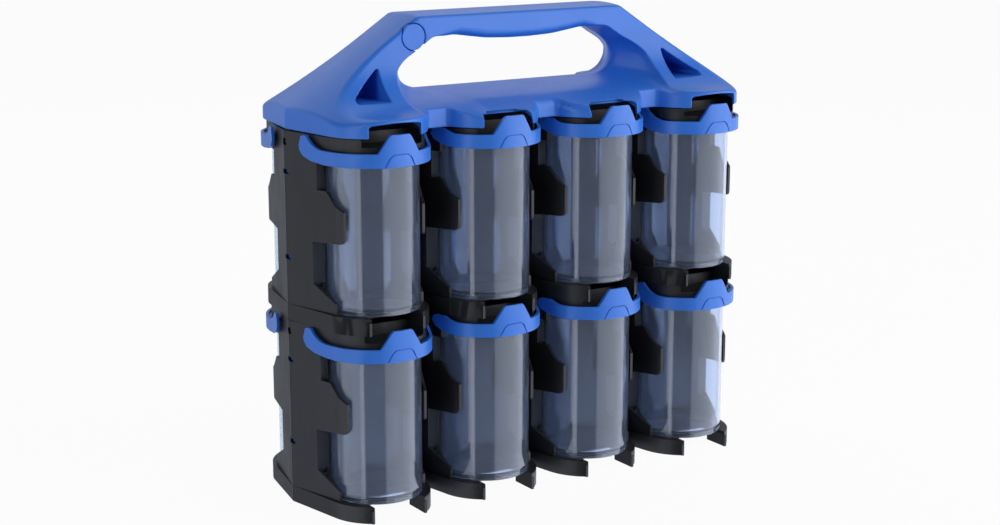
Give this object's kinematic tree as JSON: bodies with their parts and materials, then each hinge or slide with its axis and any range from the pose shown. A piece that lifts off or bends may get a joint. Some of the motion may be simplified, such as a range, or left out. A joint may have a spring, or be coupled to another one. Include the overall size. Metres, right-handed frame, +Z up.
{
  "type": "carrying rack of pull-out jars",
  "caption": "Double-sided carrying rack for small parts: stacked rows of clear jars that pull out of curved bays by collars with tabs, with an arched handle clipped on top.",
  "frame": {"origin": "under the middle of the rack, on the surface that it stands on, in the seam between the front and rear halves", "axes": "+X along the rows to the right as seen from the front, +Y from the front to the rear, +Z up"},
  "size_m": [0.3282, 0.145, 0.3094],
  "materials": {
    "blue_plastic": "satin moulded polypropylene",
    "charcoal_plastic": "satin moulded polypropylene",
    "clear_plastic": "clear, slightly hazy polypropylene"
  },
  "bodies": {
    "lower_row": {"lower_front_rack": "charcoal_plastic", "lower_front_cheeks": "charcoal_plastic", "lower_front_deck": "charcoal_plastic", "lower_front_wing_tips": "charcoal_plastic", "lower_rear_rack": "charcoal_plastic", "lower_rear_cheeks": "charcoal_plastic", "lower_rear_deck": "charcoal_plastic", "lower_rear_wing_tips": "charcoal_plastic", "lower_joining_clips": "blue_plastic"},
    "upper_row": {"upper_front_rack": "charcoal_plastic", "upper_front_cheeks": "charcoal_plastic", "upper_front_deck": "charcoal_plastic", "upper_front_wing_tips": "charcoal_plastic", "upper_rear_rack": "charcoal_plastic", "upper_rear_cheeks": "charcoal_plastic", "upper_rear_deck": "charcoal_plastic", "upper_rear_wing_tips": "charcoal_plastic", "upper_joining_clips": "blue_plastic", "row_latches": "charcoal_plastic"},
    "handle": {"carry_handle": "blue_plastic", "handle_plug": "blue_plastic", "handle_latches": "charcoal_plastic"},
    "lower_front_jar_1": {"lower_front_jar_1": "clear_plastic", "lower_front_collar_1": "blue_plastic"},
    "lower_front_jar_2": {"lower_front_jar_2": "clear_plastic", "lower_front_collar_2": "blue_plastic"},
    "lower_front_jar_3": {"lower_front_jar_3": "clear_plastic", "lower_front_collar_3": "blue_plastic"},
    "lower_front_jar_4": {"lower_front_jar_4": "clear_plastic", "lower_front_collar_4": "blue_plastic"},
    "lower_rear_jar_1": {"lower_rear_jar_1": "clear_plastic", "lower_rear_collar_1": "blue_plastic"},
    "lower_rear_jar_2": {"lower_rear_jar_2": "clear_plastic", "lower_rear_collar_2": "blue_plastic"},
    "lower_rear_jar_3": {"lower_rear_jar_3": "clear_plastic", "lower_rear_collar_3": "blue_plastic"},
    "lower_rear_jar_4": {"lower_rear_jar_4": "clear_plastic", "lower_rear_collar_4": "blue_plastic"},
    "upper_front_jar_1": {"upper_front_jar_1": "clear_plastic", "upper_front_collar_1": "blue_plastic"},
    "upper_front_jar_2": {"upper_front_jar_2": "clear_plastic", "upper_front_collar_2": "blue_plastic"},
    "upper_front_jar_3": {"upper_front_jar_3": "clear_plastic", "upper_front_collar_3": "blue_plastic"},
    "upper_front_jar_4": {"upper_front_jar_4": "clear_plastic", "upper_front_collar_4": "blue_plastic"},
    "upper_rear_jar_1": {"upper_rear_jar_1": "clear_plastic", "upper_rear_collar_1": "blue_plastic"},
    "upper_rear_jar_2": {"upper_rear_jar_2": "clear_plastic", "upper_rear_collar_2": "blue_plastic"},
    "upper_rear_jar_3": {"upper_rear_jar_3": "clear_plastic", "upper_rear_collar_3": "blue_plastic"},
    "upper_rear_jar_4": {"upper_rear_jar_4": "clear_plastic", "upper_rear_collar_4": "blue_plastic"}
  },
  "joints": [
    {"name": "upper_row_lift", "type": "slide", "parent": "lower_row", "child": "upper_row", "axis": [0, 0, 1], "range_m": [0, 0.04], "deforming": ["row_latches"]},
    {"name": "handle_lift", "type": "slide", "parent": "upper_row", "child": "handle", "axis": [0, 0, 1], "range_m": [0, 0.04], "deforming": ["handle_latches"]},
    {"name": "lower_front_jar_1_pull", "type": "slide", "parent": "lower_row", "child": "lower_front_jar_1", "axis": [0, -1, 0], "range_m": [0, 0.085], "deforming": ["lower_front_wing_tips"]},
    {"name": "lower_front_jar_2_pull", "type": "slide", "parent": "lower_row", "child": "lower_front_jar_2", "axis": [0, -1, 0], "range_m": [0, 0.085], "deforming": ["lower_front_wing_tips"]},
    {"name": "lower_front_jar_3_pull", "type": "slide", "parent": "lower_row", "child": "lower_front_jar_3", "axis": [0, -1, 0], "range_m": [0, 0.085], "deforming": ["lower_front_wing_tips"]},
    {"name": "lower_front_jar_4_pull", "type": "slide", "parent": "lower_row", "child": "lower_front_jar_4", "axis": [0, -1, 0], "range_m": [0, 0.085], "deforming": ["lower_front_wing_tips"]},
    {"name": "lower_rear_jar_1_pull", "type": "slide", "parent": "lower_row", "child": "lower_rear_jar_1", "axis": [0, 1, 0], "range_m": [0, 0.085], "deforming": ["lower_rear_wing_tips"]},
    {"name": "lower_rear_jar_2_pull", "type": "slide", "parent": "lower_row", "child": "lower_rear_jar_2", "axis": [0, 1, 0], "range_m": [0, 0.085], "deforming": ["lower_rear_wing_tips"]},
    {"name": "lower_rear_jar_3_pull", "type": "slide", "parent": "lower_row", "child": "lower_rear_jar_3", "axis": [0, 1, 0], "range_m": [0, 0.085], "deforming": ["lower_rear_wing_tips"]},
    {"name": "lower_rear_jar_4_pull", "type": "slide", "parent": "lower_row", "child": "lower_rear_jar_4", "axis": [0, 1, 0], "range_m": [0, 0.085], "deforming": ["lower_rear_wing_tips"]},
    {"name": "upper_front_jar_1_pull", "type": "slide", "parent": "upper_row", "child": "upper_front_jar_1", "axis": [0, -1, 0], "range_m": [0, 0.085], "deforming": ["upper_front_wing_tips"]},
    {"name": "upper_front_jar_2_pull", "type": "slide", "parent": "upper_row", "child": "upper_front_jar_2", "axis": [0, -1, 0], "range_m": [0, 0.085], "deforming": ["upper_front_wing_tips"]},
    {"name": "upper_front_jar_3_pull", "type": "slide", "parent": "upper_row", "child": "upper_front_jar_3", "axis": [0, -1, 0], "range_m": [0, 0.085], "deforming": ["upper_front_wing_tips"]},
    {"name": "upper_front_jar_4_pull", "type": "slide", "parent": "upper_row", "child": "upper_front_jar_4", "axis": [0, -1, 0], "range_m": [0, 0.085], "deforming": ["upper_front_wing_tips"]},
    {"name": "upper_rear_jar_1_pull", "type": "slide", "parent": "upper_row", "child": "upper_rear_jar_1", "axis": [0, 1, 0], "range_m": [0, 0.085], "deforming": ["upper_rear_wing_tips"]},
    {"name": "upper_rear_jar_2_pull", "type": "slide", "parent": "upper_row", "child": "upper_rear_jar_2", "axis": [0, 1, 0], "range_m": [0, 0.085], "deforming": ["upper_rear_wing_tips"]},
    {"name": "upper_rear_jar_3_pull", "type": "slide", "parent": "upper_row", "child": "upper_rear_jar_3", "axis": [0, 1, 0], "range_m": [0, 0.085], "deforming": ["upper_rear_wing_tips"]},
    {"name": "upper_rear_jar_4_pull", "type": "slide", "parent": "upper_row", "child": "upper_rear_jar_4", "axis": [0, 1, 0], "range_m": [0, 0.085], "deforming": ["upper_rear_wing_tips"]}
  ]
}
